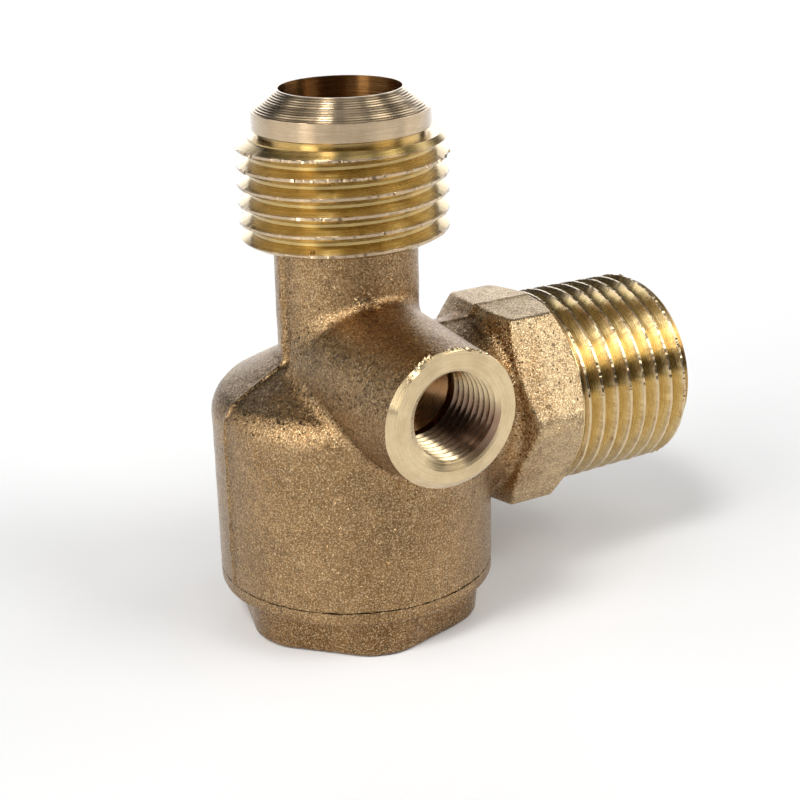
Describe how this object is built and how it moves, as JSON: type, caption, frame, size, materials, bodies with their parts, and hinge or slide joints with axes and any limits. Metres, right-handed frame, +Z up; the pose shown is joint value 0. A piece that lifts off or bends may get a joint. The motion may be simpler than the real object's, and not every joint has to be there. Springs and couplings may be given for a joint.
{
  "type": "check valve with flare inlet",
  "caption": "Brass air compressor check valve: male flare inlet on top, tapered pipe thread to the tank, small tapped unloader port and a sprung poppet behind a hexagon plug.",
  "frame": {"origin": "middle of the plug's bottom face, under the inlet axis", "axes": "+Z up along the inlet axis, +X along the outlet to the tank, -Y towards the small tapped port"},
  "size_m": [0.0513, 0.0351, 0.0556],
  "materials": {
    "valve_body": "blasted forging with bright turned threads and faces",
    "bottom_plug": "blasted forging",
    "plug_o_ring": "matte black",
    "return_spring": "bright wire",
    "poppet": "turned",
    "seal_disc": "matte black"
  },
  "bodies": {
    "valve": {"valve_body": "valve_body", "bottom_plug": "bottom_plug", "plug_o_ring": "plug_o_ring", "return_spring": "return_spring"},
    "slider": {"poppet": "poppet", "seal_disc": "seal_disc"}
  },
  "joints": [
    {"name": "poppet_slide", "type": "slide", "parent": "valve", "child": "slider", "axis": [0, 0, -1], "range_m": [0, 0.003], "stiffness_N_per_m": 300, "springref_m": -0.006, "deforming": ["return_spring"]}
  ]
}
